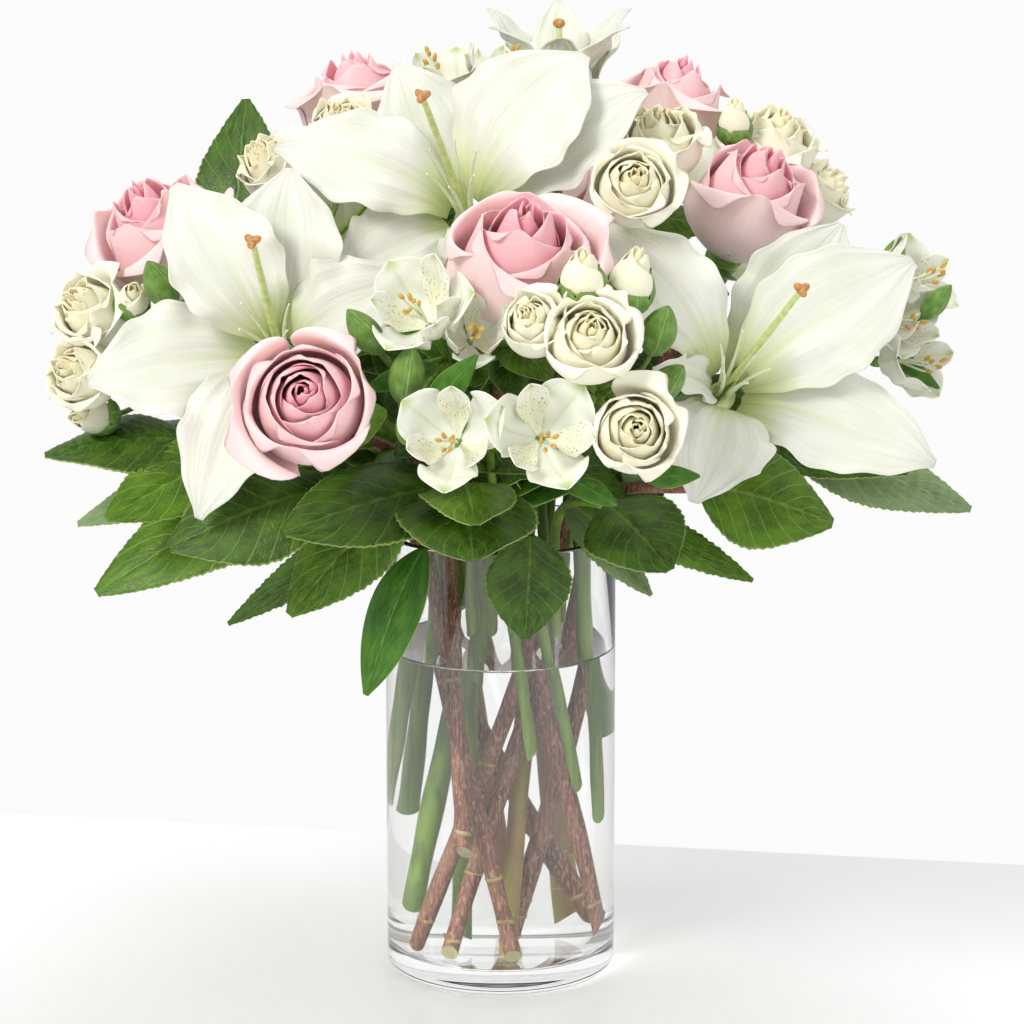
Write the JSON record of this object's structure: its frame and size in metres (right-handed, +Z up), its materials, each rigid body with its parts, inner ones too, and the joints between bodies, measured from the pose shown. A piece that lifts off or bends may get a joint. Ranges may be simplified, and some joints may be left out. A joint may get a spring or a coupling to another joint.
{
  "type": "lilies in a vase",
  "caption": "clear glass cylinder vase of water with a domed bouquet of open white lilies, pink roses, cream spray roses, alstroemeria and green leaves",
  "frame": {"origin": "centre of the vase's flat underside, where it stands on the table", "axes": "+Z up; the bouquet's front faces -Y; +X to its right as seen from the front"},
  "size_m": [0.4195, 0.3631, 0.4275],
  "materials": {
    "vase_glass": "clear polished glass",
    "water": "clear still water",
    "lily_petal": "soft white petal, faint ribs, greenish throat",
    "lily_centre": "pale green pistil and filaments, orange-brown tip",
    "pink_rose": "velvety pale pink petal, deeper pink heart",
    "cream_rose": "soft cream petal, greenish at the base",
    "alstroemeria": "white petal with green tips and brown flecks",
    "green_leaf": "dark green leaf, satin, with lighter veins",
    "lily_leaf": "bright green glossy leaf with lengthwise veins"
  },
  "bodies": {
    "root": {"alstroemeria_front": "alstroemeria", "alstroemeria_middle": "alstroemeria", "alstroemeria_right": "alstroemeria", "alstroemeria_top": "alstroemeria", "lily_back": "lily_petal", "lily_leaf": "lily_leaf", "lily_left_centre": "lily_centre", "lily_left_petal_1": "lily_petal", "lily_left_petal_2": "lily_petal", "lily_left_petal_3": "lily_petal", "lily_left_petal_4": "lily_petal", "lily_left_petal_5": "lily_petal", "lily_left_petal_6": "lily_petal", "lily_rear": "lily_petal", "lily_right_centre": "lily_centre", "lily_right_petal_1": "lily_petal", "lily_right_petal_2": "lily_petal", "lily_right_petal_3": "lily_petal", "lily_right_petal_4": "lily_petal", "lily_right_petal_5": "lily_petal", "lily_right_petal_6": "lily_petal", "lily_top_centre": "lily_centre", "lily_top_petal_1": "lily_petal", "lily_top_petal_2": "lily_petal", "lily_top_petal_3": "lily_petal", "lily_top_petal_4": "lily_petal", "lily_top_petal_5": "lily_petal", "lily_top_petal_6": "lily_petal", "rose_back_left": "pink_rose", "rose_back_right": "pink_rose", "rose_front": "pink_rose", "rose_front_left": "pink_rose", "rose_leaf": "green_leaf", "rose_left": "pink_rose", "rose_rear": "pink_rose", "rose_right": "pink_rose", "salal_far_right": "green_leaf", "salal_front": "green_leaf", "salal_left": "green_leaf", "salal_lower_left": "green_leaf", "salal_lower_right": "green_leaf", "salal_rear_left": "green_leaf", "salal_rear_right": "green_leaf", "salal_right": "green_leaf", "salal_top_left": "green_leaf", "spray_front": "cream_rose", "spray_left": "cream_rose", "spray_rear": "cream_rose", "spray_right": "cream_rose", "spray_upper_left": "cream_rose", "spray_upper_right": "cream_rose", "vase": "vase_glass", "water": "water"}
  },
  "joints": []
}
